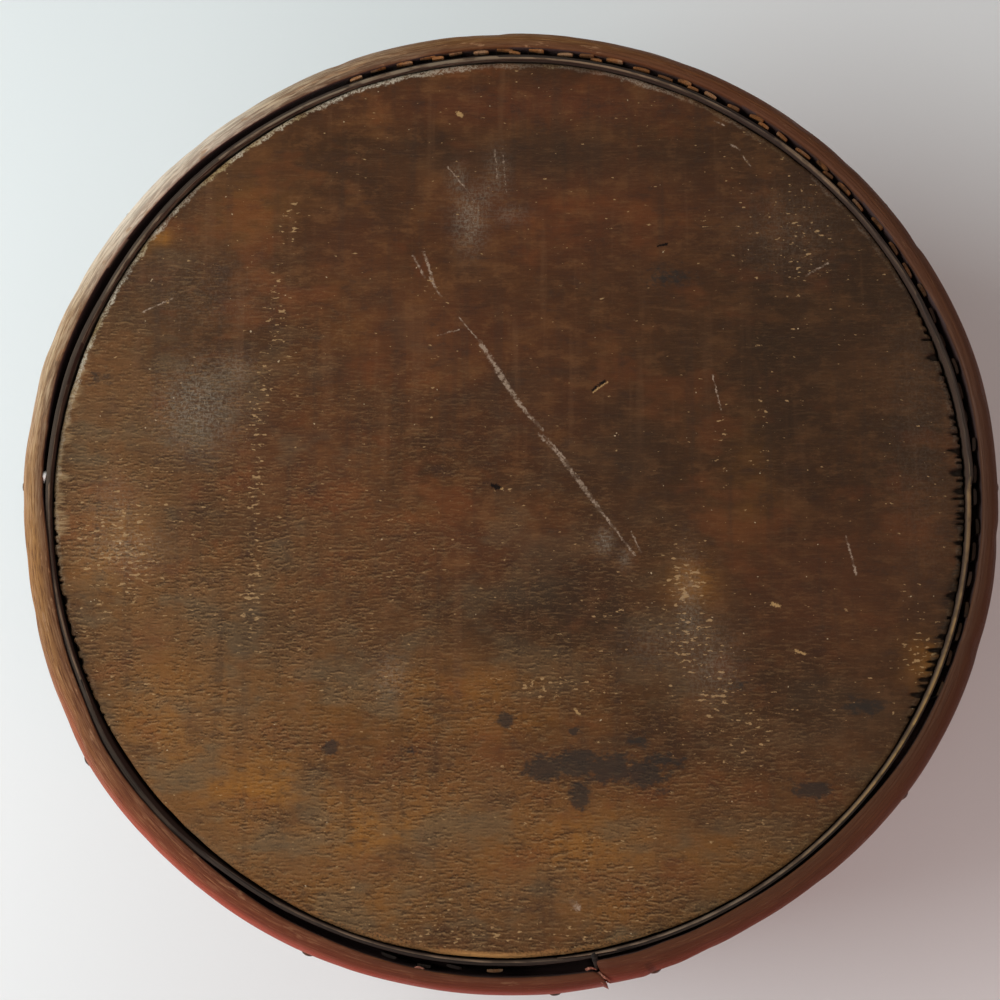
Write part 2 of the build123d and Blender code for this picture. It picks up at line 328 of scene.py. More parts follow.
def batten_outline(foot, top, thickness, crown_wide, crown_high, arris):
    """Distance from a batten's inside, and height, all round its section."""
    crown = np.linspace(0, math.pi / 2, 12)
    crown = zip(crown_wide * (1 - np.sin(crown)), crown_high * (1 - np.cos(crown)))
    small = np.linspace(0, math.pi / 2, 4)
    small = list(zip(arris * (1 - np.cos(small)), arris * (1 - np.sin(small))))
    outline = [(0, level) for level in np.linspace(foot + arris, top - arris, 12)]
    outline += [(wide, top - high) for wide, high in small[1:]]
    outline += [(level, top) for level in np.linspace(arris, thickness - crown_wide, 4)[1:-1]]
    outline += [(thickness - wide, top - high) for wide, high in crown]
    outline += [(thickness, level) for level in np.linspace(top - crown_high, foot + arris, 14)[1:]]
    outline += [(thickness - wide, foot + high) for wide, high in small[1:]]
    outline += [(level, foot) for level in np.linspace(thickness - arris, arris, 4)[1:]]
    outline += [(wide, foot + high) for wide, high in small[-2:0:-1]]
    return np.array(outline)[None, :, 0], np.array(outline)[None, :, 1]


def length_round(reach, rise):
    """How far round its section each point of a batten lies, in millimetres."""
    steps = np.hypot(reach - np.roll(reach, 1, axis=1), rise - np.roll(rise, 1, axis=1))
    return np.cumsum(steps, axis=1)


foot_reach, foot_rise = batten_outline(0.0, hoop_top, hoop_outer - hoop_inner, 2.6, 3.4, 1.2)
half_gap = math.degrees(foot_joint_gap / 2 / hoop_outer)
foot_angle = np.arange(foot_joint_angle + half_gap, foot_joint_angle + 360 - half_gap, foot_turn)
foot_angle = foot_angle[:, None]
rng = np.random.default_rng(11)
foot_round = length_round(foot_reach, foot_rise) + 0 * foot_angle
foot_along = foot_angle * foot_run + 0 * foot_round
foot_worn = foot_grain_depth * patches(rng, foot_along, foot_round, 40, 1.6)
foot_worn = foot_worn + foot_dent_depth * patches(rng, foot_along, foot_round, 17, 9) ** 4
foot_radius = hoop_inner + foot_reach - foot_worn * (foot_reach > foot_unworn)
foot_slope = math.degrees(math.tan(math.radians(foot_joint_slant)) / hoop_outer)
foot_slanted = foot_angle + (foot_rise - hoop_top / 2) * foot_slope * foot_slant_share
base_hoop = bent_piece("foot_hoop", foot_slanted, foot_radius, foot_rise + 0 * foot_angle)

hoop_dark, hoop_plain, hoop_light = (0.048, 0.016, 0.007), (0.13, 0.043, 0.012), (0.26, 0.105, 0.03)


def bent_place(finish):
    """A place whose third part stays the same along a bent piece and changes across it."""
    x, y, z = finish.parts(finish.place)
    section = finish.maths("SUBTRACT", finish.spread(), z)
    return finish.add("ShaderNodeCombineXYZ", {0: x, 1: y, 2: section}).outputs[0]


def hoop_layers(name):
    """Red-brown stained hoop wood with its grain running round the hoop."""
    hoop = Finish(name, 0.1)
    turned = bent_place(hoop)
    grain = hoop.cloud((20, 20, 1400), 4, 0.6, place=turned)
    bands = hoop.cloud((6, 6, 260), 3, 0.55, (0.3, 0, 0), place=turned)
    blots = hoop.cloud((24, 24, 60), 4, 0.6, (1.1, 0.4, 0), place=turned)
    colour = hoop.layered(
        hoop_dark,
        ((bands, 0.32, 0.68), hoop_plain),
        (0.45, hoop_plain),
        ((grain, 0.52, 0.7, 0, 0.75), hoop_dark),
        ((grain, 0.46, 0.3, 0, 0.5), hoop_light),
        ((blots, 0.54, 0.75, 0, 0.5), (0.03, 0.015, 0.01)),
    )
    return hoop, colour, grain, blots, turned


foot, foot_colour, foot_grain, foot_blots, _ = hoop_layers("foot_hoop_finish")
foot.put_on(base_hoop, foot_colour, (foot_blots, 0.35, 0.7, 0.38, 0.62), foot_grain, 0.0006)
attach(base_hoop, "box")
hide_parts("base_hoop")

# Base hoop nails
# Square cut iron nails with hammered heads, driven through the hoop and the side into
# the edge of the base board.
base_nail_angles = [20 + 45 * number for number in range(8)]
base_nail_height = 7.0

# Rings round a nail, from the end of its shank to the middle of its head: depth, half width
nail_rings = ((6.0, 0.8), (0.25, 0.9), (0.2, 2.35), (-0.25, 2.5), (-0.7, 1.75), (-0.95, 0.8))
nail_corners, nail_shank_rings = 8, 2


def ways_at(angle):
    """The ways straight out of the box and sideways, at an angle in degrees."""
    outward = Vector((math.cos(math.radians(angle)), math.sin(math.radians(angle)), 0))
    return outward, Vector((-outward.y, outward.x, 0))


def hammered_nails(name, seats, level, seed):
    """Nails at those (distance out, angle) seats, their heads beaten to uneven facets."""
    rng = np.random.default_rng(seed)
    points, faces = [], []
    for reach, angle in seats:
        outward, sideways = ways_at(angle)
        spin = rng.uniform(0, 90)
        faces += skin(len(points), len(nail_rings), nail_corners)
        for number, (depth, half) in enumerate(nail_rings):
            for corner in range(nail_corners):
                turn = math.radians(spin + corner * 360 / nail_corners)
                size = half * (1 if number < nail_shank_rings else rng.uniform(0.86, 1.0))
                place = outward * (reach - depth) + sideways * (size * math.cos(turn))
                points.append((place.x, place.y, level + size * math.sin(turn)))
    return new_piece(name, points, faces, 25)


base_seats = [(hoop_outer, angle) for angle in base_nail_angles]
base_nails = hammered_nails("foot_nails", base_seats, base_nail_height, 5)
rust = Finish("rusted_iron_finish")
rust.shader.inputs["Metallic"].default_value = 0.55
rust_spots = rust.cloud((700, 700, 700), 4, 0.65)
rust_pits = rust.cloud((2400, 2400, 2400), 3, 0.6, (0.5, 0, 0))
rust_colour = rust.layered(
    (0.045, 0.036, 0.032),
    ((rust_spots, 0.38, 0.62), (0.14, 0.058, 0.028)),
    ((rust_pits, 0.55, 0.7, 0, 0.7), (0.02, 0.014, 0.012)),
)
rust.put_on(base_nails, rust_colour, (rust_spots, 0.35, 0.65, 0.42, 0.8), rust_pits, 0.0002)
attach(base_nails, "box")
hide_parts("base_hoop_nails")

# Tacks of the side and the rim
# Small flat-headed iron tacks up each lap, their points bent over inside. They keep
# their own shape and only get the rusted finish.
for node in ("body_wall_tacks", "lid_rim_tacks"):
    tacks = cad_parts[node]
    tacks.data.materials.clear()
    tacks.data.materials.append(rust.material)
    tacks.data.set_sharp_from_angle(angle=math.radians(25))

# Lid board
# One round of plank with its grain from left to right, stained, scratched and dented by
# use. Its end grain is torn into teeth at left and right, and its arris is worn pale.
board_radius, board_foot, board_top = 176.75, 137.02, 146.45
board_rows, board_columns = 780, 230
board_arris = 0.5
board_hollow_depth, check_depth, board_grain_depth = 0.16, 0.11, 0.07
tooth_depth, worn_edge_depth, worn_edge_wide = 1.5, 0.55, 1.3

# Soft spots of each kind of mark on the board: x, y, half width, half height, strength
board_spots = {
    "gold": (
        (-89, -114, 34, 14, 0.85), (-47, -129, 38, 12, 0.75), (31, -134, 34, 13, 0.7),
        (-152, -26, 16, 22, 0.5), (-128, -92, 24, 30, 0.5), (-30, -82, 62, 16, 0.5), (71, -36, 9, 9, 0.85),
        (-139.5, 104, 4.5, 4.5, 1.5), (-100, 116, 16, 12, 0.2), (5, -88, 26, 10, 0.45),
        (-62, -157, 60, 12, 0.45), (95, 4, 8, 22, 0.35), (75, -140, 46, 16, 0.45), (45, -160, 30, 10, 0.4),
        (158, -67, 8, 9, 0.9), (-70, 60, 30, 24, 0.1), (-20, -128, 120, 30, 0.3),
    ),
    "red": (
        (30, 112, 70, 30, 0.7), (20, 158, 74, 11, 1), (-25, 60, 60, 30, 0.6), (-78, 12, 30, 40, 0.55),
        (118, -38, 42, 30, 0.6), (10, 30, 40, 26, 0.45), (-10, -20, 50, 18, 0.5), (-60, 100, 26, 20, 0.5),
        (20, -108, 90, 14, 0.4),
    ),
    "dark": (
        (8, 136, 60, 10, 1.3), (112, 45, 58, 46, 0.55), (48, 12, 20, 34, 0.75), (24, -42, 34, 14, 0.85),
        (-92, -54, 40, 10, 0.6), (-5, -58, 70, 10, 0.4), (90, 65, 34, 26, 0.5), (-55, 130, 34, 10, 0.5),
        (60, 85, 20, 12, 0.5), (140, 100, 26, 22, 0.3), (96, -72, 50, 12, 0.3), (-30, 32, 26, 12, 0.3),
        (130, -86, 22, 12, 0.35), (-110, 20, 22, 40, 0.15), (58, -98, 60, 8, 0.3), (-142, 78, 26, 12, 0.25),
    ),
    "stain": (
        (15, -107, 9, 5.6, 1), (27, -105, 10, 6, 1), (39, -107, 11, 6.4, 1), (52, -109, 10, 5.6, 1),
        (28, -117, 4.6, 6.5, 1), (58, -104, 8, 4, 0.7), (135, -84, 9, 4, 0.8), (115, -115, 9, 4, 0.9),
        (0, -89, 3.6, 3.6, 1), (26, -93, 2.4, 2.4, 0.9), (50, -97, 5.5, 3, 0.75), (66, -105, 3.6, 3, 0.6),
        (59, -115, 4.4, 3, 0.6), (-66, -99, 3.4, 3, 1), (-36, -100, 5, 2.4, 0.6), (65, 85, 12, 5, 0.6),
        (88, -76, 9, 3.6, 0.45), (-160, 46, 8, 5, 0.5),
    ),
    "haze": (
        (-121, 34, 15, 17, 0.9), (-108, 48, 9, 8, 0.6), (-14, 110, 6, 12, 0.9), (-8, 119, 4, 8, 0.5),
        (-19, 126, 4, 7, 0.5), (1, 112, 8, 4, 0.4), (38, -20.5, 3.2, 4.6, 1), (46, -27, 2.2, 4, 0.6),
        (112, 104, 20, 18, 0.2), (-148, -22, 16, 10, 0.5), (-3, 128, 5, 11, 0.4), (-44, -72, 6, 9, 0.5),
        (-152, -8, 12, 16, 0.35), (70, -46, 5, 20, 0.55), (78, -68, 10, 14, 0.45), (60, -60, 16, 9, 0.3),
        (160, 20, 14, 60, 0.12), (-120, 80, 30, 20, 0.15),
    ),
    "pale": (
        (-98, -42, 4, 16, 0.9), (-97, -4, 4, 22, 0.9), (-96, 34, 4, 18, 0.9), (-90, 72, 4, 20, 0.9),
        (-86, 106, 4, 14, 0.7), (158, -67, 9, 10, 1), (68, -38, 8, 14, 1), (70, -58, 9, 14, 1),
        (80, -76, 9, 14, 0.8), (92, -96, 10, 12, 0.6), (112, 100, 24, 26, 0.5), (84, 18, 4, 24, 0.5),
        (-33, 86, 9, 12, 0.4), (40, -52, 12, 12, 0.5), (-8, -167, 60, 8, 0.45), (-150, -24, 20, 26, 0.7),
        (12, -76, 24, 6, 0.5), (100, 30, 6, 30, 0.3),
    ),
    "tan": (
        (-118, -75, 60, 64, 0.9), (-154, 0, 30, 66, 0.8), (-60, -134, 90, 34, 0.95), (24, -142, 84, 30, 0.9),
        (-148, 60, 24, 40, 0.35), (-110, 118, 30, 24, 0.15), (90, -134, 50, 26, 0.5), (-40, -74, 56, 20, 0.4),
        (-80, -20, 44, 36, 0.3), (72, -60, 20, 40, 0.35),
    ),
}


def soft_spots(x, y, spots):
    """How strongly each place lies in one of the spots, from 0 to 1."""
    total = np.zeros_like(x)
    for centre_x, centre_y, wide, high, strength in spots:
        far = ((x - centre_x) / wide) ** 2 + ((y - centre_y) / high) ** 2
        total = np.maximum(total, strength * np.exp(-far))
    return total


rng = np.random.default_rng(21)
across, along = round_grid(board_radius, board_rows, board_columns)
from_edge = board_radius - np.hypot(across, along)
bearing = np.degrees(np.arctan2(along, across)) % 360
uneven = 0.5 * patches(rng, bearing, 0 * bearing, 11, 1)
uneven = uneven + 0.3 * patches(rng, bearing, 0 * bearing, 2.2, 1)
across, along = across * (1 - uneven / board_radius), along * (1 - uneven / board_radius)

# Torn end grain, first at left, then at right: triangular notches in loose clusters, and
# frayed fibres behind them
row = along[:, :1]
openings, longest = [], []
for lowest, highest, length in ((-96, 2, 2.2), (-94, 74, 4.2)):
    toothed = held((row - lowest) / 10) * held((highest - row) / 10)
    cluster = held(2.6 * patches(rng, 0 * row, row, 1, 13) - 0.1)
    notch = held(2.6 * patches(rng, 0 * row, row, 1, 1.0) - 1.15)
    openings.append(notch * cluster * toothed)
    longest.append(length * (0.35 + 1.3 * patches(rng, 0 * row, row, 1, 1.7)))
on_left = across < 0
end_distance = np.sqrt(np.maximum(board_radius**2 - along**2, 0)) - np.abs(across)
tooth = np.where(on_left, *openings) - end_distance / np.where(on_left, *longest)
tooth = held(2.4 * tooth)
frayed = 1.4 + 4.0 * patches(rng, 0 * row, row, 1, 2.4)
frayed = held(2.2 - 1.6 * end_distance / frayed)
combed_left = 0.5 * np.exp(-(((along + 66) / 42) ** 4))
combed_right = np.exp(-(((along + 8) / 74) ** 6))

# Its face: hollows, short checks along the grain where it is driest, and a worn edge
check_area = 0.08 + 0.92 * held(0.32 - across / 240 - along / 175)
checks = held((patches(rng, across, along, 4.2, 1.0) - 0.66) * 4)
hollow = patches(rng, across, along, 60, 30) + 0.5 * patches(rng, across, along, 22, 12)
board_grain = patches(rng, across, along, 3.6, 0.9) * (0.3 + 0.7 * check_area)
worn_edge = held(1 - from_edge / worn_edge_wide) ** 2
height = board_top - board_hollow_depth * hollow - check_depth * checks * check_area
height = height - board_grain_depth * board_grain - tooth_depth * tooth - worn_edge_depth * worn_edge
lid_board = board_piece("lid_board_plank", across, along, height, board_foot, board_arris)
mark(lid_board, {name: soft_spots(across, along, spots) for name, spots in board_spots.items()})
mark(lid_board, {
    "checked": check_area,
    "torn": tooth,
    "fringe": on_left * frayed * np.exp(-(((along - 14) / 40) ** 4)),
    "combed": np.where(on_left, combed_left, combed_right) * frayed,
    "arris": eased(bearing, (
        (50, 0.1), (75, 0.3), (98, 0.45), (108, 0.95), (160, 1), (172, 0.3),
        (200, 0.1), (235, 0.25), (250, 0.7), (275, 0.75), (292, 0.3), (315, 0.1), (345, 0.05),
    )),
    # Where the front of the edge gets a painted highlight
    "painted_glint": np.exp(-(((bearing - 267.5) / 5.5) ** 2)),
    "shy": uneven,
})

# Scratches on the board: x and y of each end, and width
scratches = (
    (-18.3, 69.5, -9.9, 59.2, 0.5), (-9.9, 59.2, 5.8, 33.6, 1.3), (5.8, 33.6, 14.5, 23.5, 1),
    (13, 22, 21.3, 13, 0.8), (15, 21.5, 24.5, 10.5, 0.7), (21.3, 13, 36.6, -8.3, 1.1),
    (27, 6.5, 33.5, -3, 0.6), (-4, 48, 3.5, 36.5, 0.8), (36.6, -8.3, 49.8, -25.9, 0.7),
    (-23, 132, -14.6, 121.3, 0.5), (-4.1, 138.9, -3.1, 127, 0.6), (-0.9, 136.8, 0.6, 121, 0.4),
    (-36.5, 95, -32, 86, 0.7), (-32.5, 96.5, -28.5, 84, 0.8), (-30, 86, -25.5, 78, 0.7),
    (130.6, -19, 133.9, -33.7, 0.7), (118.5, 85, 127, 90, 0.6), (-144, 73, -132, 78.5, 0.5),
    (90, 140, 94, 137.6, 0.5), (95, 135, 98, 130.6, 0.5), (84, 150, 88, 148, 0.5),
    (-27, 62, -18, 64.5, 0.4), (81, 45, 84, 31, 0.5), (24.6, -156, 27, -158.5, 1.6),
    (48.5, -17, 52, -25, 0.6),
)
# Deep nicks, laid out the same way, and the raised lips beside them
nicks_cut = ((34.0, 39.4, 39.0, 43.1, 0.8), (-4.6, 1.6, -2.6, 0.9, 1.5), (60.5, 98.0, 64.0, 98.6, 0.8))
nicks_lip = (
    (34.6, 38.8, 39.8, 42.6, 0.6), (-2.2, 0.5, -1.2, 0.3, 0.8), (101.4, -45, 104.4, -45.8, 1),
    (-18.8, 154.6, -17.6, 154, 1.5), (26, -85, 28, -86.8, 0.8), (110, -63, 113.5, -64, 0.8),
)

old = Finish("lid_board_finish", 0.06)
x_wander = old.cloud((700, 700, 700), 2, 0.6)
y_wander = old.cloud((700, 700, 700), 2, 0.6, (3.1, 1.7, 0))
wander = old.add("ShaderNodeCombineXYZ", {0: x_wander, 1: y_wander, 2: 0.5}).outputs[0]
wander = old.arrow("MULTIPLY", old.arrow("SUBTRACT", wander, (0.5, 0.5, 0.5)), (0.0014, 0.0014, 0))
rough_place = old.arrow("ADD", old.place, wander)
ragged = old.cloud((1300, 1300, 600), 3, 0.7, (4.4, 0, 0))
broken = old.cloud((330, 330, 300), 3, 0.65, (4.4, 0, 0))


def scratched(lines):
    """1 in the middle of any of those straight scratches, with ragged edges and gaps."""
    nearest = 9.0
    for start_x, start_y, end_x, end_y, width in lines:
        start = Vector((start_x, start_y, board_top)) * mm
        run = Vector((end_x - start_x, end_y - start_y, 0)) * mm
        off = old.arrow("SUBTRACT", rough_place, start)
        share = old.arrow("DOT_PRODUCT", off, run / run.length_squared)
        share = old.maths("MAXIMUM", old.maths("MINIMUM", share, 1), 0)
        along_run = old.add("ShaderNodeVectorMath", {0: run, "Scale": share}, operation="SCALE").outputs[0]
        beside = old.arrow("LENGTH", old.arrow("SUBTRACT", off, along_run))
        nearest = old.maths("MINIMUM", old.times(beside, 1 / (width * mm)), nearest)
    return old.step(old.maths("ADD", nearest, old.times(ragged, 2.4)), 1.5, 2.05, 1, 0)


axes = old.parts(old.place)
broad = old.cloud((13, 17, 13), 4, 0.62)
middle = old.cloud((44, 70, 40), 4, 0.62, (0.7, 0.2, 0))
mottle = old.cloud((95, 170, 60), 4, 0.7, (6.1, 0.4, 0))
tint = old.cloud((30, 46, 30), 3, 0.65, (8.3, 0.2, 0))
smears = old.cloud((150, 9, 20), 3, 0.6, (0.3, 1.2, 0))
fibre = old.cloud((105, 900, 60), 4, 0.7)
raised = old.maths("ADD", old.marked("checked", 0.6), 0.4)
board_colour = old.layered(
    (0.043, 0.02, 0.009),
    ((broad, 0.36, 0.64), (0.075, 0.0315, 0.0125)),
    (old.marked("red", 0.7), (0.112, 0.035, 0.0155)),
    (old.marked("tan", (broad, 0.3, 0.62, 0.75, 1.0)), (0.172, 0.085, 0.032)),
    ((middle, 0.5, 0.7, 0, 0.5), (0.14, 0.057, 0.019)),
    ((middle, 0.46, 0.3, 0, 0.5), (0.048, 0.023, 0.013)),
    (old.marked("gold", (middle, 0.32, 0.6, 0.25, 0.9)), (0.29, 0.118, 0.02)),
    ((mottle, 0.5, 0.68, 0, 0.42), (0.165, 0.072, 0.027)),
    ((mottle, 0.47, 0.3, 0, 0.5), (0.04, 0.021, 0.0145)),
    (old.marked("checked", (tint, 0.51, 0.66, 0, 0.55)), (0.11, 0.083, 0.047)),
    ((tint, 0.47, 0.32, 0, 0.38), (0.165, 0.049, 0.015)),
    ((smears, 0.5, 0.74, 0, 0.38), (0.04, 0.024, 0.016)),
    ((smears, 0.45, 0.28, 0, 0.32), (0.14, 0.066, 0.03)),
    (old.marked("dark", (broad, 0.3, 0.6, 1.0, 0.5), 0.8), (0.027, 0.0185, 0.0125)),
    # Darker towards the right: painted shade
    ((axes[0], -0.03, 0.15, 0, 0.36), (0.032, 0.02, 0.0125)),
    (old.times((fibre, 0.5, 0.7, 0, 0.32), raised), (0.028, 0.014, 0.008)),
    (old.times((fibre, 0.47, 0.3, 0, 0.32), raised), (0.17, 0.09, 0.04)),
)

# The crinkled surface: dark nicks each with a painted highlight beside it, sand, grime and pale flecks
crinkle_scale, highlight_shift = (290, 1020, 60), 0.7
nicks = old.cloud(crinkle_scale, 4, 0.65, (0.4, 0.9, 0))
painted_nick_highlights = old.cloud(crinkle_scale, 4, 0.65, (0.4, 0.9 + highlight_shift, 0))
flecks = old.cloud((360, 760, 60), 2, 0.55, (1.9, 0.3, 0))
tufts = old.cloud((40, 46, 40), 3, 0.6, (2.9, 0.8, 0))
density = old.marked("checked", (tufts, 0.34, 0.6, 0.35, 1.0))
nick_share = old.times((nicks, 0.51, 0.66, 0, 0.63), density)
fleck_edge = old.maths("SUBTRACT", 0.71, old.marked("pale", 0.16))
fleck_edge = old.maths("SUBTRACT", fleck_edge, old.times(density, 0.03))
board_colour = old.layered(
    board_colour,
    # Painted highlight on the lit side of each nick
    (old.times((painted_nick_highlights, 0.5, 0.66, 0, 0.56), density), (0.31, 0.185, 0.082)),
    (nick_share, (0.026, 0.013, 0.008)),
    (old.times(density, (ragged, 0.54, 0.7, 0, 0.5)), (0.27, 0.16, 0.07)),
    (old.times(density, (ragged, 0.46, 0.32, 0, 0.45)), (0.038, 0.021, 0.013)),
    ((old.maths("SUBTRACT", flecks, fleck_edge), 0.0, 0.06, 0, 0.75), (0.38, 0.24, 0.11)),
)

# Ink stains, rubbed haze, frayed ends, scratches and nicks
specks = old.cloud((520, 520, 400), 1, 0.5, (5.1, 0.7, 0))
stain_edge = old.cloud((330, 420, 300), 4, 0.75, (0.2, 2.2, 0))
stain = old.step(old.maths("ADD", old.marked("stain"), old.times(stain_edge, 1.7)), 1.1, 1.58)
haze_rows = old.cloud((560, 1150, 300), 3, 0.65, (0.9, 0.9, 0))
haze_threads = old.cloud((1150, 520, 300), 3, 0.65, (2.9, 0.9, 0))
haze = old.step(old.maths("MAXIMUM", haze_rows, haze_threads), 0.47, 0.66, 0.15, 1.0)
board_colour = old.layered(
    board_colour,
    (old.times(stain, 0.72), (0.022, 0.022, 0.02)),
    (old.marked("haze", haze, 0.62), (0.255, 0.22, 0.165)),
    (old.marked("fringe", (fibre, 0.4, 0.56, 0.95, 0.3)), (0.36, 0.245, 0.125)),
    (old.marked("combed", (fibre, 0.46, 0.56, 0.2, 0.85)), (0.026, 0.016, 0.011)),
    (old.times(scratched(scratches), (broken, 0.4, 0.58, 0.12, 0.8)), (0.33, 0.245, 0.175)),
    (scratched(nicks_lip), (0.35, 0.215, 0.09)),
    (scratched(nicks_cut), (0.008, 0.005, 0.004)),
    ((specks, 0.8, 0.84, 0, 0.85), (0.48, 0.36, 0.22)),
)

# The edge: a chalky worn arris, a painted warm highlight at the front, and the dark cut side
edge = old.maths("ADD", old.spread(), old.marked("shy", mm))
crumbled = old.maths("ADD", edge, old.times(broken, 3.0 * mm))
crumbled = old.maths("ADD", crumbled, old.times(mottle, 4.5 * mm))
chalk = old.marked(
    "arris",
    (ragged, 0.4, 0.56, 0.1, 1.0),
    (middle, 0.36, 0.52, 0.35, 1.0),
    (crumbled, (board_radius + 1.3) * mm, (board_radius + 2.3) * mm),
)
arris_colour = old.layered((0.52, 0.46, 0.35), ((tint, 0.46, 0.62), (0.34, 0.25, 0.12)))
arris_colour = old.layered((0.3, 0.135, 0.048), ((axes[1], -0.13, -0.02), arris_colour))
painted_glint_edge = old.step(edge, (board_radius - 2.4) * mm, (board_radius - 0.9) * mm, 0, 0.9)
cut_side = old.step(axes[2], (board_top - 3.4) * mm, (board_top - 2.2) * mm, 0.85, 0)
board_colour = old.layered(
    board_colour,
    (chalk, arris_colour),
    (old.marked("painted_glint", painted_glint_edge), (0.5, 0.245, 0.085)),
    ((old.marked("torn"), 0.02, 0.6, 0, 0.9), (0.018, 0.012, 0.009)),
    (cut_side, (0.04, 0.025, 0.017)),
)
lumps = old.maths("SUBTRACT", fibre, old.times(nick_share, 1.1))
lumps = old.maths("ADD", lumps, old.times(ragged, 0.3))
old.put_on(lid_board, board_colour, (middle, 0.3, 0.8, 0.5, 0.75), lumps, 0.00028)
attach(lid_board, "lid")
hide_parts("lid_board")

# Lid rim
# A thin bent strip nailed round the board's edge. It hangs down as the skirt that slides
# over the side, and its upper edge has sprung off the board at the lower left.
rim_inner, rim_outer, rim_foot, rim_top = 177.1, 179.0, 102.05, 149.0
rim_lap_angle = 281.0
rim_shown, rim_shade_depth = 145.0, 25.0
rim_spring = (
    (1.8, 0.9), (14, 1), (24, 0.4), (34, -0.1), (45, -0.4), (75, 0), (105, -0.5), (120, 0), (135, 0.5),
    (150, 0.1), (163, 1.1), (175, 0.5), (188, 0), (203, 0.3), (214, 2.1), (224, 2.2), (236, 0.5),
    (250, 0.1), (262, 0.2), (300, 0), (330, -0.1), (345, -0.2), (359.2, -0.5),
)


def bearings(piece):
    """The angle round the box of each point of a piece, in degrees, and its distance out."""
    places = np.array([point.co[:2] for point in piece.data.vertices]) / mm
    return np.degrees(np.arctan2(places[:, 1], places[:, 0])) % 360, np.hypot(*places.T)


lid_rim = lapped_strip("rim_strip", rim_inner, rim_outer, rim_foot, rim_top, rim_lap_angle, rim_spring)
rim_bearing, rim_reach = bearings(lid_rim)
mark(lid_rim, {
    # Where the rim is lit: a painted highlight along its lip and on its inner face
    "lit": eased(rim_bearing, (
        (0, 0.75), (14, 0.6), (24, 0.45), (60, 0.1), (100, 0), (140, 0.15), (200, 0.1), (225, 0.2),
        (250, 0.2), (262, 0.05), (285, 0.2), (310, 0.45), (335, 0.8),
    )),
    # The golden tint of that painted highlight
    "highlight_gold": eased(rim_bearing, (
        (0, 0.45), (14, 0.5), (24, 0.1), (300, 0), (316, 0.5), (328, 1), (338, 0.7), (350, 0.5),
    )),
    # Where the rim is painted lighter, most of all at the left: painted light
    "painted_side_light": eased(rim_bearing, (
        (0, 0.3), (60, 0.1), (100, 0.2), (130, 0.9), (200, 0.8), (230, 0.2), (262, 0), (300, 0.3),
        (330, 0.5),
    )),
    "chalky": eased(rim_bearing, (
        (0, 0), (80, 0.1), (104, 0.8), (160, 0.8), (172, 0.2), (200, 0), (262, 0), (300, 0.35),
        (325, 0.2),
    )),
    "outside": rim_reach > (rim_inner + rim_outer) / 2,
})
strip = Finish("rim_finish", 0.06)
strip_grain = strip.cloud((12, 12, 1500), 4, 0.65, place=bent_place(strip))
strip_worn = strip.cloud((42, 42, 50), 4, 0.65, (1.3, 0, 0))
strip_chip = strip.cloud((120, 120, 900), 3, 0.6, (2.2, 0, 0))
strip_level = strip.parts(strip.place)[2]
outside = strip.marked("outside")
# A painted highlight along the lip, golden towards the right
highlight_end = strip.maths("ADD", strip.marked("lit"), strip.times(strip_chip, 0.3))
lip_highlight_share = strip.times(
    (strip.maths("SUBTRACT", outside, highlight_end), -0.12, 0.12, 1, 0),
    (strip_level, (rim_top - 0.8) * mm, (rim_top - 0.2) * mm),
    (strip_chip, 0.36, 0.56, 0.35, 0.85),
)
lip_highlight_colour = strip.layered((0.225, 0.15, 0.098), (strip.marked("highlight_gold"), (0.46, 0.28, 0.095)))
# Painted shade down both sides of the rim below its top, far down the groove outside
lowest_shade = strip.maths("SUBTRACT", rim_shown * mm, strip.times(outside, rim_shade_depth * mm))
rim_groove_shade = strip.times(
    (strip_level, (rim_top - 1.2) * mm, (rim_top - 0.3) * mm, 0.92, 0.0),
    strip.maths("GREATER_THAN", strip_level, lowest_shade),
)
inner_face = strip.step(outside, 0.35, 0.0, 0, 0.9)
chalked = strip.times(
    inner_face,
    strip.marked("chalky"),
    (strip_chip, 0.38, 0.6),
    strip.maths("GREATER_THAN", strip_level, rim_shown * mm),
)
strip_colour = strip.layered(
    (0.036, 0.026, 0.021),
    ((strip_grain, 0.35, 0.65), (0.015, 0.011, 0.009)),
    # Painted light
    (strip.marked("painted_side_light"), (0.066, 0.05, 0.037)),
    ((strip_worn, 0.5, 0.68, 0, 0.4), (0.095, 0.068, 0.048)),
    ((strip_grain, 0.51, 0.62, 0, 0.85), (0.011, 0.009, 0.008)),
    (lip_highlight_share, lip_highlight_colour),
    (rim_groove_shade, (0.05, 0.031, 0.025)),
    # Painted light on the inner face where it is lit
    (strip.times(inner_face, strip.marked("lit", 0.4)), (0.105, 0.066, 0.042)),
    (chalked, (0.2, 0.165, 0.115)),
)
strip.put_on(lid_rim, strip_colour, (strip_worn, 0.35, 0.7, 0.5, 0.75), strip_grain, 0.0004)
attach(lid_rim, "lid")
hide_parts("lid_rim")

# Cane splints
# Flat strips of split cane on end in the groove between rim and hoop, in two rows, and a
# few more beside the hoop's joint. Their cut ends show as short dashes, some of them doubled.
splint_angles = [-25.2 + 3.37 * number for number in range(41)]
joint_splint_angles = [256.0, 260.5, 264.0, 269.0]
splint_half_width, splint_thickness = 2.75, 1.4
splint_length, joint_splint_length = 26.0, 13.0
splint_rows = (180.7, 179.5, 179.9)
doubled_splints = (21, 24, 27, 31, 34, 37)
splint_top, joint_splint_sunk = 148.5, 1.2


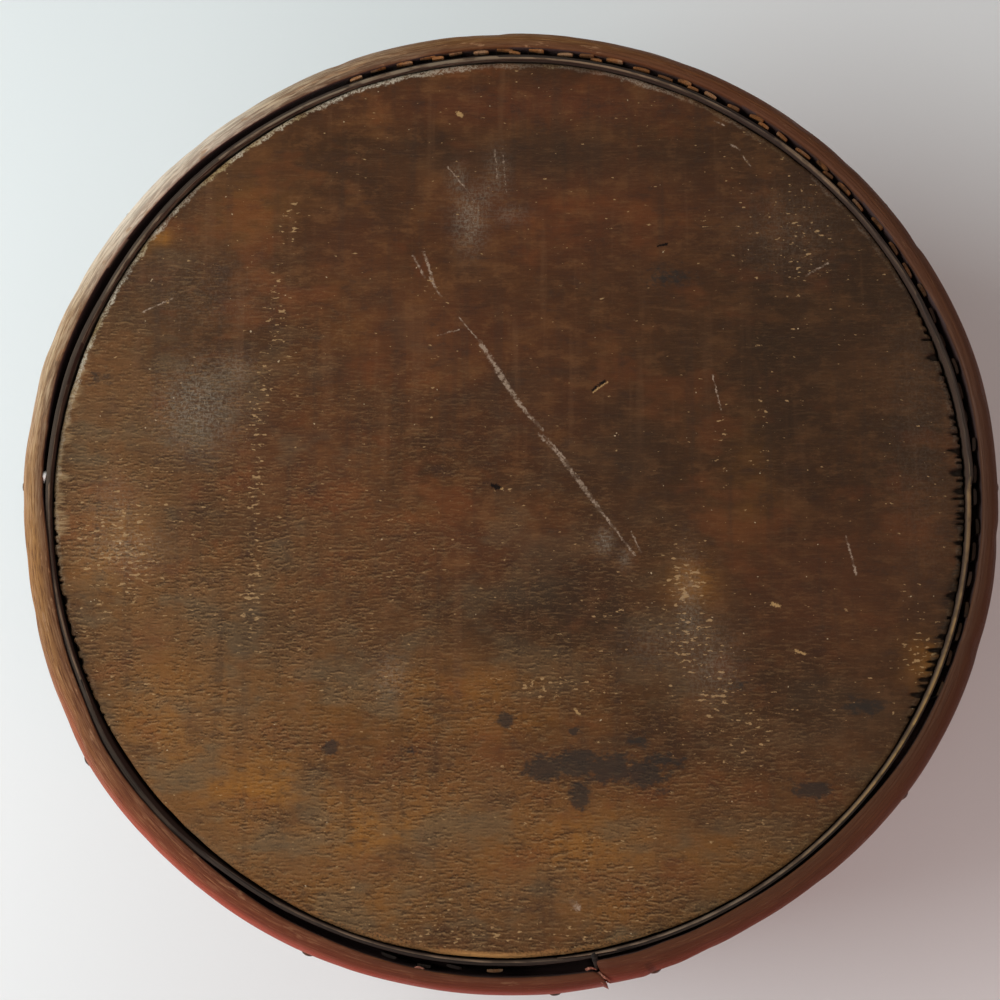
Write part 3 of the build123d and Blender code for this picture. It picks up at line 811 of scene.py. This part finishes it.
def cane_splint(points, faces, rng, reach, angle, top, length, width_share):
    """One strip: flat side inwards, crowned outwards, its top cut a little aslant."""
    outward, sideways = ways_at(angle)
    section = [(step / 4 - 1, 0.62 + 0.26 * (1 - (step / 4 - 1) ** 4)) for step in range(9)]
    section += [(share, 0.0) for share in (1.0, 0.5, 0.0, -0.5, -1.0)]
    tilt, slant, skew = rng.uniform(-0.35, 0.35), rng.uniform(-0.4, 0.1), rng.uniform(-0.25, 0.25)
    half_way = top - 0.5 * length
    for level in (top - length, half_way, top - 5, top - 1.5, top - 0.35, top):
        pinch = 0.92 if level == top else 1.0
        for share, depth in section:
            lift = (tilt * share + slant * depth) if level > top - 2 else 0
            fray = rng.uniform(-0.15, 0.15) if level == top else 0
            side = sideways * (share * splint_half_width * width_share * pinch + fray)
            place = outward * (reach + (depth + skew * share) * splint_thickness * pinch) + side
            points.append((place.x, place.y, level + lift + fray))
    faces += skin(len(points) - 6 * len(section), 6, len(section))


rng = np.random.default_rng(8)
points, faces = [], []
for number, angle in enumerate(splint_angles + joint_splint_angles):
    by_joint = angle > 200
    length = joint_splint_length if by_joint else splint_length
    angle = angle + rng.uniform(-0.4, 0.4)
    reach = splint_rows[number % 3] + (0.5 if by_joint else 0)
    top = splint_top - 1.1 * rng.random() * (0.5 if number > 19 else 1.0)
    top = top - (joint_splint_sunk if by_joint else 0)
    width_share = rng.uniform(0.9, 1.3)
    if number in doubled_splints:
        cane_splint(points, faces, rng, splint_rows[1], angle - 0.9, top - 0.3, length, 0.85)
        reach, angle = splint_rows[0], angle + 0.4
    cane_splint(points, faces, rng, reach, angle, top, length, width_share)
splints = new_piece("cane_splints", points, faces, 35)
# Where this is low the cut ends are painted almost black: painted shade at the right and by the joint
mark(splints, {"unshaded_ends": eased(bearings(splints)[0], (
    (0, 0.02), (20, 0.05), (34, 0.4), (60, 0.75), (85, 0.9), (112, 1), (200, 0.3), (252, 0), (266, 0),
    (268, 0.4), (272, 0.4), (335, 0.1),
))})
cane = Finish("split_cane_finish", 0.08)
cane_pores = cane.cloud((1500, 1500, 500), 3, 0.65)
cane_tone = cane.cloud((110, 110, 20), 2, 0.6, (0.5, 0, 0))
cane_end = cane.layered(
    (0.34, 0.19, 0.1),
    ((cane_tone, 0.38, 0.52), (0.3, 0.125, 0.042)),
    ((cane_tone, 0.54, 0.62, 0, 0.7), (0.105, 0.05, 0.024)),
    ((cane_pores, 0.52, 0.68, 0, 0.75), (0.07, 0.034, 0.018)),
)
# Cut ends painted almost black where shaded: painted shade
cane_end = cane.layered((0.012, 0.008, 0.006), (cane.marked("unshaded_ends"), cane_end))
cut = cane.step(cane.parts(cane.place)[2], (splint_top - 2.6) * mm, (splint_top - 1.4) * mm)
# Below their cut ends the splints are painted almost black: painted shade of the groove
cane_colour = cane.layered(
    (0.016, 0.01, 0.007),
    ((cane_pores, 0.35, 0.65), (0.01, 0.007, 0.005)),
    (cut, cane_end),
)
cane.put_on(splints, cane_colour, (cane_pores, 0.3, 0.7, 0.5, 0.8), cane_pores, 0.0003)
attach(splints, "lid")
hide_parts("lid_splints")

# Lid hoop
# A thick bent batten, worn round, nailed through the rim into the board. Its two ends
# have moved out of line: one has sprung out, and the other is tucked in and torn.
lid_hoop_radius, lid_hoop_thickness = 190.0, 7.6
lid_hoop_foot, lid_hoop_top = 120.0, 150.0
lid_hoop_inset = 0.25
joint_angle, joint_gap, joint_slant, joint_middle = 281.0, 0.12, 0.6, 185.5
tuck_start, tuck_shift = 325.0, 9.6
spring_start, spring_shift = 250.0, 14.0
hoop_run = 3.3  # millimetres round the box to a degree
swell_foot, swell_rise = 132.0, 16.0
drawn_in_top, drawn_in_rise, drawn_in_gap = 134.0, 8.0, 0.5
crown_foot, left_corner_foot, right_corner_foot = 147.0, 146.0, 145.0
toned_foot, toned_rise = 138.0, 8.0
dent_depth, corner_depth, slant_run = 0.8, 1.8, 20.0
flap_length, flap_ragged, flap_thickness, torn_wide, torn_depth = 16.0, 3.0, 0.5, 3.5, 0.9
hoop_bulge = (
    (0, 0), (15, 1), (37, 0.4), (60, 0.3), (90, 0), (120, 0.5), (135, 0.9), (163, 1.5),
    (174, 0.2), (188, -1.1), (205, 0.2), (214, 1.2), (230, 0.7), (246, 0.7), (262, 0), (274, -0.6),
    (280.9, -1.3), (281.1, 2.2), (285, 2.3), (289, 1.6), (294, 0.4), (300, -0.3), (330, 0.6), (345, 0.3),
)
hoop_swell = (
    (0, -0.5), (15, -1.3), (30, 0.3), (60, 0.2), (90, 0.7), (105, 1.3), (120, 1), (135, 0),
    (163, -0.6), (175, 1.1), (188, 3.9), (205, 2.5), (214, 0.8), (230, 1.6), (245, 0.4), (262, -0.6),
    (280.9, 0.3), (281.1, -0.7), (285, -0.6), (290, 0.4), (300, 1.7), (315, 2), (330, 0.6),
)
hoop_closed = ((0, 0), (116, 0), (126, 1), (318, 1), (328, 0))
hoop_rough = ((0, 0.1), (50, 0.2), (85, 0.6), (110, 1.0), (240, 1.0), (270, 0.5), (330, 0.15))


def hoop_reach(angle):
    """How far the outside of the hoop stands out at an angle in degrees."""
    angle = np.asarray(angle, float) % 360
    sprung = spring_shift * (1 - np.cos(np.radians(angle - spring_start)))
    tucked = tuck_shift * (1 - np.cos(np.radians(tuck_start - angle)))
    ends = np.where(angle < joint_angle, sprung, -tucked)
    return lid_hoop_radius + ends * (angle > spring_start) * (angle < tuck_start) - lid_hoop_inset


half_gap = math.degrees(joint_gap / 2 / lid_hoop_radius)
straight = np.linspace(joint_angle + half_gap, joint_angle + 360 - half_gap, 900)[:, None]
hoop_across, rise = batten_outline(lid_hoop_foot, lid_hoop_top, lid_hoop_thickness, 5.4, 7.5, 0.9)
round_it = length_round(hoop_across, rise) + 0 * straight
from_left = (straight[-1] - straight) * hoop_run
from_right = (straight - straight[0]) * hoop_run
nearer = np.minimum(from_left, from_right)
along_it = from_right + 0 * round_it
rise = rise + 0 * straight
share = hoop_across / lid_hoop_thickness + 0 * straight

# The worn batten: bulges and swellings, dents, fine ridges along it and a foot drawn in
outer = hoop_reach(straight) + eased(straight, hoop_bulge)
inner = hoop_reach(straight) - lid_hoop_thickness
inner = inner - eased(straight, hoop_swell) * held((rise - swell_foot) / swell_rise)
closing = eased(straight, hoop_closed) * held((drawn_in_top - rise) / drawn_in_rise)
inner = inner - np.maximum(inner - rim_outer - drawn_in_gap, 0) * closing
radius = inner + (outer - inner) * share
coarse = eased(straight, hoop_rough)
rng = np.random.default_rng(17)
ridges = 0.3 * patches(rng, along_it, round_it, 34, 1.1) + 0.2 * patches(rng, along_it, round_it, 60, 2.6)
dents = patches(rng, along_it, round_it, 11, 6) ** 5
radius = radius - (ridges * coarse + dent_depth * dents) * (share > 0.45)
furrowed = 0.3 * patches(rng, along_it, round_it, 30, 1.3) * coarse
rise = rise - (furrowed + 0.3 * dents) * (rise > crown_foot)

# The two ends: a rounded corner on the left one, and a torn outer layer on the right one
radius = radius + (1 - share) * corner_depth * held(1 - from_left / 3.0) ** 2
rise = rise - 0.8 * held(1 - from_left / 2.4) ** 2 * (rise > left_corner_foot)
flap_end = flap_length + flap_ragged * patches(rng, 0 * round_it, round_it, 1, 1.8)
radius = radius + flap_thickness * (held((flap_end - from_right) / 0.8) * (share > 0.6))
torn = held(1 - np.abs(from_right - flap_end) / torn_wide) * (share > 0.5)
radius = radius - torn_depth * torn * patches(rng, along_it, round_it, 1.4, 2.2)
rise = rise - 0.8 * held(1 - from_right / 2.5) * (rise > right_corner_foot)
slanted = joint_slant * (radius - joint_middle) / lid_hoop_thickness
slanted = slanted * held(1 - nearer / slant_run)
lid_hoop = bent_piece("lid_hoop_batten", straight + slanted, radius, rise)
turned_by = straight % 360 + 0 * radius
upper = 0.22 + 0.78 * held((rise - toned_foot) / toned_rise)
mark(lid_hoop, {
    # Paler at the upper left: weathered wood together with painted glare
    "weathered_and_glare": upper * (0.35 + 0.65 * share) * eased(turned_by, (
        (60, 0), (94, 0.05), (108, 0.45), (120, 0.95), (152, 1), (166, 0.75), (178, 0.25), (190, 0.08),
        (340, 0),
    )),
    # Paler still on the top at the upper left: painted glare
    "painted_glare": upper * (0.45 + 0.55 * share) * eased(turned_by, (
        (0, 0), (118, 0), (130, 0.8), (144, 1), (151, 0.5), (158, 0),
    )),
    "golden": upper * eased(turned_by, (
        (0, 0), (60, 0.1), (84, 0.35), (94, 0.5), (120, 0), (160, 0.7), (185, 0.9), (200, 0.6),
        (214, 0.35), (240, 0.1), (270, 0),
    )),
    # Red at the front and lower left, most on the outer edge: painted reflection of red light
    "painted_red_glow": upper * (0.25 + 0.75 * share) * eased(turned_by, (
        (20, 0.2), (60, 0.3), (90, 0.1), (196, 0.1), (210, 0.5), (224, 0.9), (240, 1), (278, 1),
        (292, 0.5), (312, 0.12), (345, 0),
    )),
    # Darker round the right and lower right: painted shade
    "painted_right_shade": eased(turned_by, (
        (0, 1), (30, 0.6), (60, 0.25), (90, 0), (230, 0), (262, 0.3), (284, 0.55), (300, 0.7),
        (330, 0.9),
    )),
    "shade": eased(turned_by, (
        (0, 0.9), (40, 0.95), (72, 1), (104, 0.9), (122, 0.5), (138, 0.1), (150, 0.5), (180, 1),
        (240, 0.6), (330, 0.7),
    )),
    # The inside face below the top, painted dark: painted shade of the groove
    "groove_shade": (share < 0.04) * (rise < lid_hoop_top - 1),
    "torn": torn,
    "out": share,
    "coarse": coarse + 0 * share,
    # Right at the two ends, painted almost black: painted shade in the joint
    "ends": held(1.3 - nearer / 0.8),
})

batten, hoop_colour, grain, blots, turned = hoop_layers("lid_hoop_finish")
streaks = batten.cloud((90, 90, 1300), 4, 0.7, (0.8, 0, 0), place=turned)
rubbed = batten.cloud((90, 90, 420), 4, 0.65, (3.3, 0, 0), place=turned)
rubbed_edge = batten.step(batten.marked("painted_right_shade"), 0, 1, 0.57, 0.7)
rubbed = batten.step(batten.maths("SUBTRACT", rubbed, rubbed_edge), 0.02, 0.1, 0, 0.6)
out = batten.marked("out")
painted_red_glow_tone = batten.layered((0.155, 0.021, 0.012), ((out, 0.55, 1.0), (0.5, 0.08, 0.05)))
hoop_colour = batten.layered(
    hoop_colour,
    (batten.marked("golden", 0.7), (0.37, 0.178, 0.045)),
    (batten.marked("coarse", (streaks, 0.51, 0.63, 0, 0.8)), (0.07, 0.024, 0.009)),
    (batten.marked("coarse", (streaks, 0.46, 0.34, 0, 0.6)), (0.46, 0.25, 0.1)),
    (batten.marked("shade", (out, 0.1, 0.52, 0.8, 0)), (0.085, 0.032, 0.014)),
    # Weathered wood with painted glare, then painted glare
    (batten.marked("weathered_and_glare", (streaks, 0.4, 0.58, 1.0, 0.35)), (0.72, 0.59, 0.4)),
    (batten.marked("painted_glare", (streaks, 0.44, 0.6, 0.85, 0.5)), (0.9, 0.8, 0.66)),
    (rubbed, (0.36, 0.2, 0.1)),
    # Painted reflection of red light
    (batten.marked("painted_red_glow", (streaks, 0.35, 0.65, 0.97, 0.78)), painted_red_glow_tone),
    # Painted shade
    (batten.marked("painted_right_shade", 0.78), (0.06, 0.027, 0.015)),
    ((batten.marked("torn"), 0.35, 0.8, 0, 0.5), (0.055, 0.02, 0.012)),
    # Painted shade in the joint
    ((batten.marked("ends"), 0.3, 1.0), (0.01, 0.005, 0.004)),
    # Painted shade of the groove
    (batten.marked("groove_shade"), (0.065, 0.04, 0.037)),
)
furrows = batten.maths("ADD", grain, streaks)
batten.put_on(lid_hoop, hoop_colour, (blots, 0.35, 0.7, 0.42, 0.66), furrows, 0.0005)
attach(lid_hoop, "lid")
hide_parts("lid_hoop")

# Splinters of the hoop
# Slivers that still hang on where the ends of the hoop have torn: a curled one in the
# joint and short ones beside it. Each is a strand of the hoop's own wood.
slivers = (
    ((34.2, -181.4, 147.6), (35.2, -183, 149.4), (37.2, -182.9, 149.4), (38.4, -184.6, 147.6), 0.6),
    ((35, -183.2, 148.6), (34.8, -184.6, 148.9), (36.2, -185.7, 148.2), (37.6, -185, 147), 0.5),
    ((29.6, -180.4, 148.6), (30.8, -179.6, 149.6), (32, -179.4, 149.4), (33.4, -180.4, 148.4), 0.5),
    ((-69.6, -169.3, 148.2), (-68.4, -168.6, 149.2), (-67.2, -169.2, 149.2), (-66, -170.2, 148.2), 0.5),
    ((-33.6, -180.2, 148.2), (-32.2, -179.2, 149.3), (-30.8, -179.6, 149.2), (-29.6, -180.8, 148), 0.5),
)
sliver_rings, sliver_corners, sliver_flatness = 10, 6, 0.45


def strands(name, rng, *routes):
    """Thin tapered strands, each bent between four places and of a half width."""
    points, faces = [], []
    for *route, half_width in routes:
        a, b, c, d = (Vector(place) for place in route)
        faces += skin(len(points), sliver_rings, sliver_corners)
        for ring in range(sliver_rings):
            t = ring / (sliver_rings - 1)
            middle = a * (1 - t) ** 3 + b * 3 * t * (1 - t) ** 2 + c * 3 * t * t * (1 - t) + d * t**3
            run = (b - a) * (1 - t) ** 2 + (c - b) * 2 * t * (1 - t) + (d - c) * t * t
            sideways = run.cross(Vector((0, 0, 1))).normalized()
            upwards = sideways.cross(run.normalized())
            size = half_width * (1.0 - 0.75 * t * t + rng.uniform(-0.08, 0.08))
            for corner in range(sliver_corners):
                turn = math.radians(corner * 360 / sliver_corners)
                off = sideways * math.cos(turn) + upwards * (sliver_flatness * math.sin(turn))
                points.append(tuple(middle + off * size))
    return new_piece(name, points, faces)


rng = np.random.default_rng(4)
splinters = strands("hoop_splinters", rng, *slivers)
torn_wood = Finish("splinter_finish", 0.15)
torn_fibre = torn_wood.cloud((900, 900, 500), 3, 0.6)
torn_colour = torn_wood.layered(
    (0.42, 0.18, 0.12),
    ((torn_fibre, 0.35, 0.65), (0.16, 0.056, 0.036)),
)
torn_wood.put_on(splinters, torn_colour, (torn_fibre, 0.3, 0.7, 0.6, 0.8), torn_fibre, 0.0003)
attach(splinters, "lid")

# Torn end of the rim
# A short tongue of the rim's thin strip that has torn off its upper edge beside the
# hoop's joint and still hangs on, bent out over the groove.
rim_end = ((32.4, -174.6, 148.2), (33.0, -176.2, 149.2), (33.2, -178.0, 149.2), (33.6, -180.6, 147.8), 1.2)
torn_rim = strands("rim_torn_end", rng, rim_end)
mark(torn_rim, {"outside": np.ones(len(torn_rim.data.vertices))})
torn_rim.data.materials.append(strip.material)
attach(torn_rim, "lid")

# White fleck
# A small white fleck, grimy on top, stuck in the groove between the rim
# and the hoop at the left.
fleck = ((-180.3, 8.0, 147.2), (-179.9, 6.6, 149.2), (-180.0, 5.2, 149.2), (-180.4, 3.6, 147.2), 0.9)
white_fleck = strands("white_fleck", rng, fleck)
fleck_finish = Finish("wax_fleck_finish", 0.4)
fleck_grime = fleck_finish.cloud((1200, 1200, 900), 3, 0.6)
fleck_colour = fleck_finish.layered((0.85, 0.84, 0.8), ((fleck_grime, 0.5, 0.7), (0.45, 0.4, 0.33)))
fleck_finish.put_on(white_fleck, fleck_colour, (fleck_grime, 0.3, 0.7, 0.4, 0.7), fleck_grime, 0.0002)
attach(white_fleck, "lid")

# Lid hoop nails
# Cut iron nails through the hoop and the rim into the board's edge. Their hammered heads
# stand as small bumps on the outside.
lid_nail_angles = (0.075, 37.145, 70.845, 107.915, 143, 179, 213, 247, 275.5, 287, 322)
lid_nail_height, lid_nail_sunk = 141.75, 0.35
lid_nail_reach = hoop_reach(lid_nail_angles) + eased(lid_nail_angles, hoop_bulge) - lid_nail_sunk
lid_nails = hammered_nails("lid_nails", zip(lid_nail_reach, lid_nail_angles), lid_nail_height, 9)
lid_nails.data.materials.append(rust.material)
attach(lid_nails, "lid")
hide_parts("lid_hoop_nails")

# Table, light and camera
# The box stands on a plain pale table. A broad soft light hangs to the left of it, and
# the camera looks down on the lid from a little in front.
floor_half = 4.0
floor_corners = [(x * floor_half, y * floor_half, 0) for x, y in ((-1, -1), (1, -1), (1, 1), (-1, 1))]
floor_mesh = bpy.data.meshes.new("table_top")
floor_mesh.from_pydata(floor_corners, [], [(0, 1, 2, 3)])
floor = set_up("table_top", floor_mesh)
table = Finish("table_finish", 0.3)
table_tone = table.cloud((3, 3, 3), 3, 0.5)
table_colour = table.layered((0.79, 0.83, 0.83), (table_tone, (0.74, 0.78, 0.78)))
table_skin = table.cloud((240, 240, 240), 3, 0.6)
table.put_on(floor, table_colour, (table_skin, 0.3, 0.7, 0.42, 0.55), table_skin, 0.00005)

# Square soft lights: place, what each faces, size, power and colour
for name, place, faced, size, power, colour in (
    ("window", (-1.05, 0.05, 0.98), (0, 0, 0.1), 1.0, 19.5, (0.97, 0.99, 1.0)),
    ("fill", (0.85, 0.75, 0.8), (0.1, 0.05, 0.1), 1.0, 2.4, (0.93, 1.0, 0.98)),
    ("bounce", (-0.8, -0.9, 0.9), (0, 0, 0.1), 1.2, 5, (0.95, 0.98, 1.0)),
    ("warm_bounce", (0.8, -0.85, 0.42), (0.12, -0.14, 0.05), 0.8, 5.5, (1.0, 0.38, 0.33)),
):
    lamp = bpy.data.lights.new(name, "AREA")
    lamp.shape = "SQUARE"
    lamp.size = size
    lamp.energy = power
    lamp.color = colour
    stand = set_up(name, lamp)
    stand.location = place
    stand.rotation_euler = (Vector(place) - Vector(faced)).to_track_quat("Z", "Y").to_euler()

world = bpy.data.worlds.new("studio")
world.use_nodes = True
sky = world.node_tree.nodes["Background"].inputs
sky["Color"].default_value = (0.9, 0.88, 0.84, 1)
sky["Strength"].default_value = 0.18
bpy.context.scene.world = world

eye = Vector((0.02239, -0.13431, 0.84178))
aim = Vector((-0.00193, -0.00476, 0.15))
forward = (aim - eye).normalized()
rightward = forward.cross(Vector((0, 1, 0))).normalized()
upward = rightward.cross(forward)
lens = bpy.data.cameras.new("camera")
lens.sensor_width = 36
lens.lens = 65.84
lens.clip_start = 0.01
camera = set_up("camera", lens)
stance = Matrix((rightward, upward, -forward)).transposed().to_4x4()
stance.translation = eye
camera.matrix_world = stance
bpy.context.scene.camera = camera
bpy.context.scene.view_settings.view_transform = "Standard"
